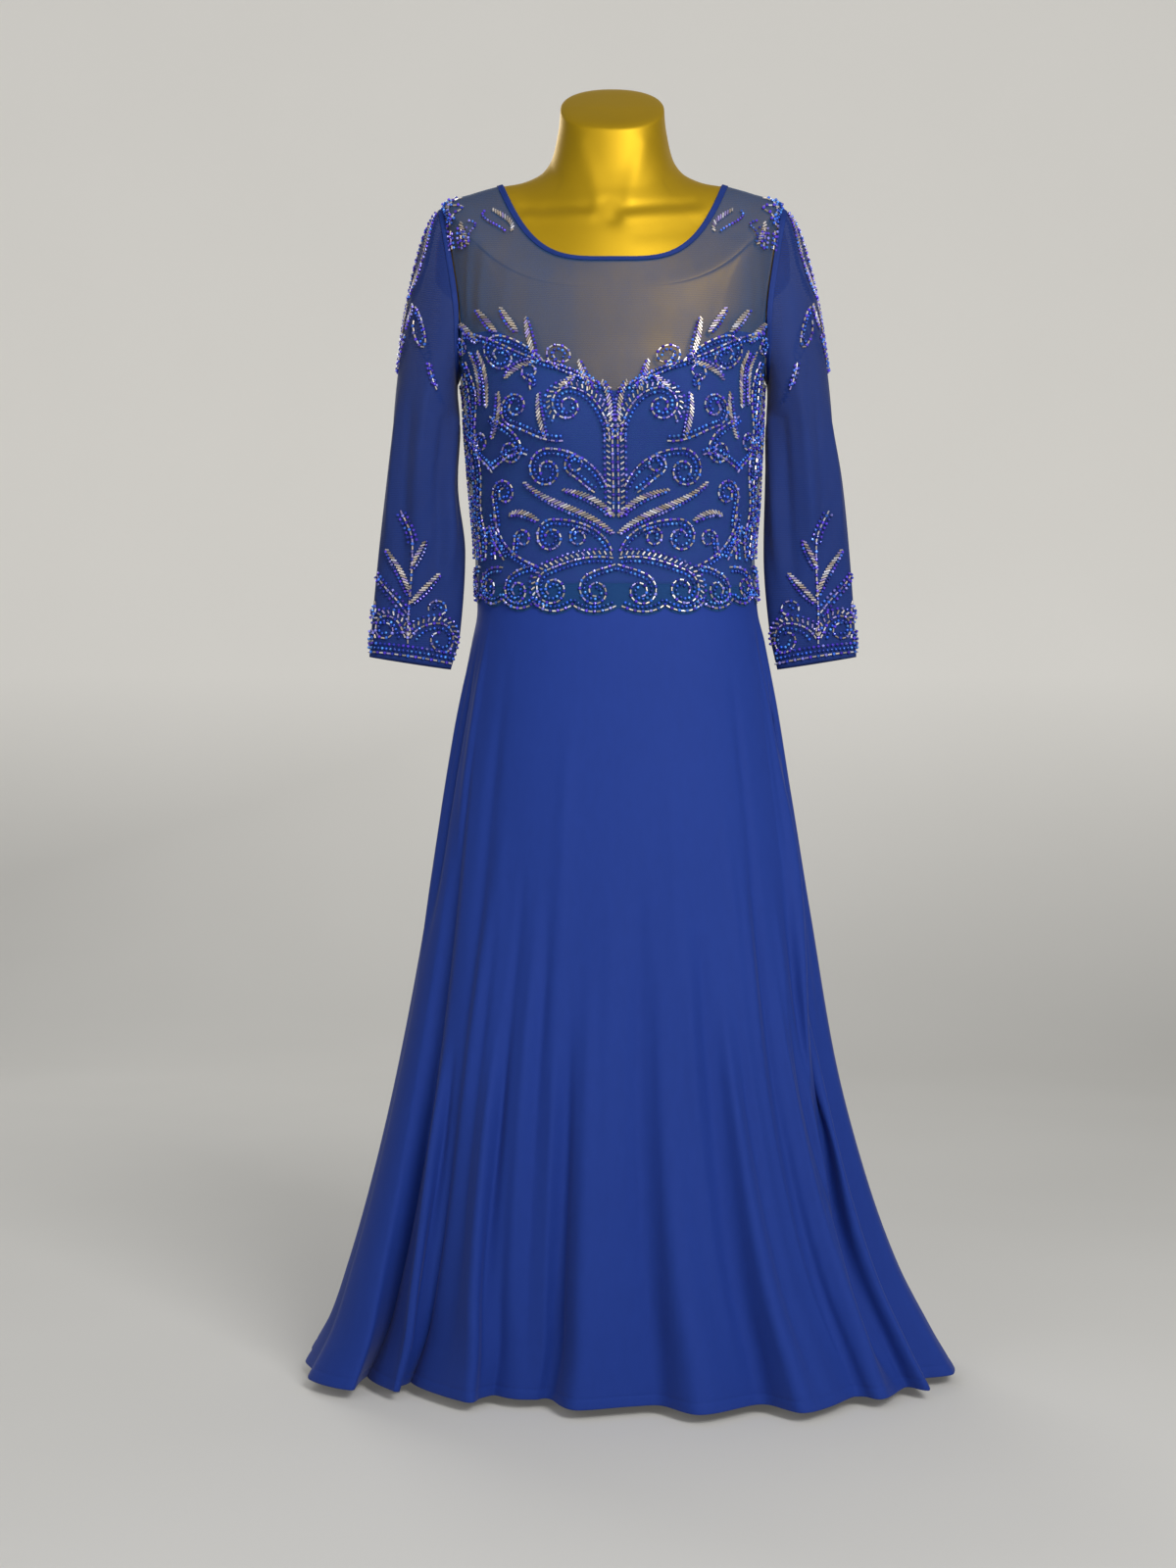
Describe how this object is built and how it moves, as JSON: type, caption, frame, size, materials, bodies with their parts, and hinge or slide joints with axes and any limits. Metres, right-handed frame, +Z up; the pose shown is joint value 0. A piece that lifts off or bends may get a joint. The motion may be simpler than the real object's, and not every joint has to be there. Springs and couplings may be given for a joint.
{
  "type": "beaded evening gown on a dress form",
  "caption": "Floor-length evening gown with a sheer beaded bodice and bracelet sleeves, on a limbless dress form with a pole and round foot.",
  "frame": {"origin": "centre of the underside of the form's round foot, on the floor", "axes": "+Z up, the gown's front faces -Y, +X towards the right of the front view"},
  "size_m": [0.7707, 0.4194, 1.548],
  "materials": {
    "jersey": "matte royal blue jersey with a soft sheen",
    "mesh": "sheer royal blue stretch mesh",
    "binding": "folded royal blue binding",
    "zip": "blue concealed zip",
    "silver_beads": "silver-lined bugle beads",
    "blue_beads": "faceted blue and violet beads",
    "form_shell": "satin gold painted shell",
    "stand_metal": "brushed steel"
  },
  "bodies": {
    "gown": {"form_torso": "form_shell", "stand_pole": "stand_metal", "stand_foot": "stand_metal", "bodice_front": "mesh", "bodice_back_left": "mesh", "bodice_back_right": "mesh", "underbodice_front": "jersey", "underbodice_back_left": "jersey", "underbodice_back_right": "jersey", "neck_binding_front": "binding", "neck_binding_back_left": "binding", "neck_binding_back_right": "binding", "skirt_front": "jersey", "skirt_back_left": "jersey", "skirt_back_right": "jersey", "sleeve_left": "mesh", "sleeve_right": "mesh", "armhole_binding_left": "binding", "armhole_binding_right": "binding", "back_zip": "zip", "zip_slider": "zip"},
    "pull": {"zip_pull": "zip"}
  },
  "joints": [
    {"name": "zip_pull_swing", "type": "hinge", "parent": "gown", "child": "pull", "pos_m": [0, 0.0734, 1.36117], "axis": [1, 0, 0], "range_deg": [0, 150]}
  ]
}
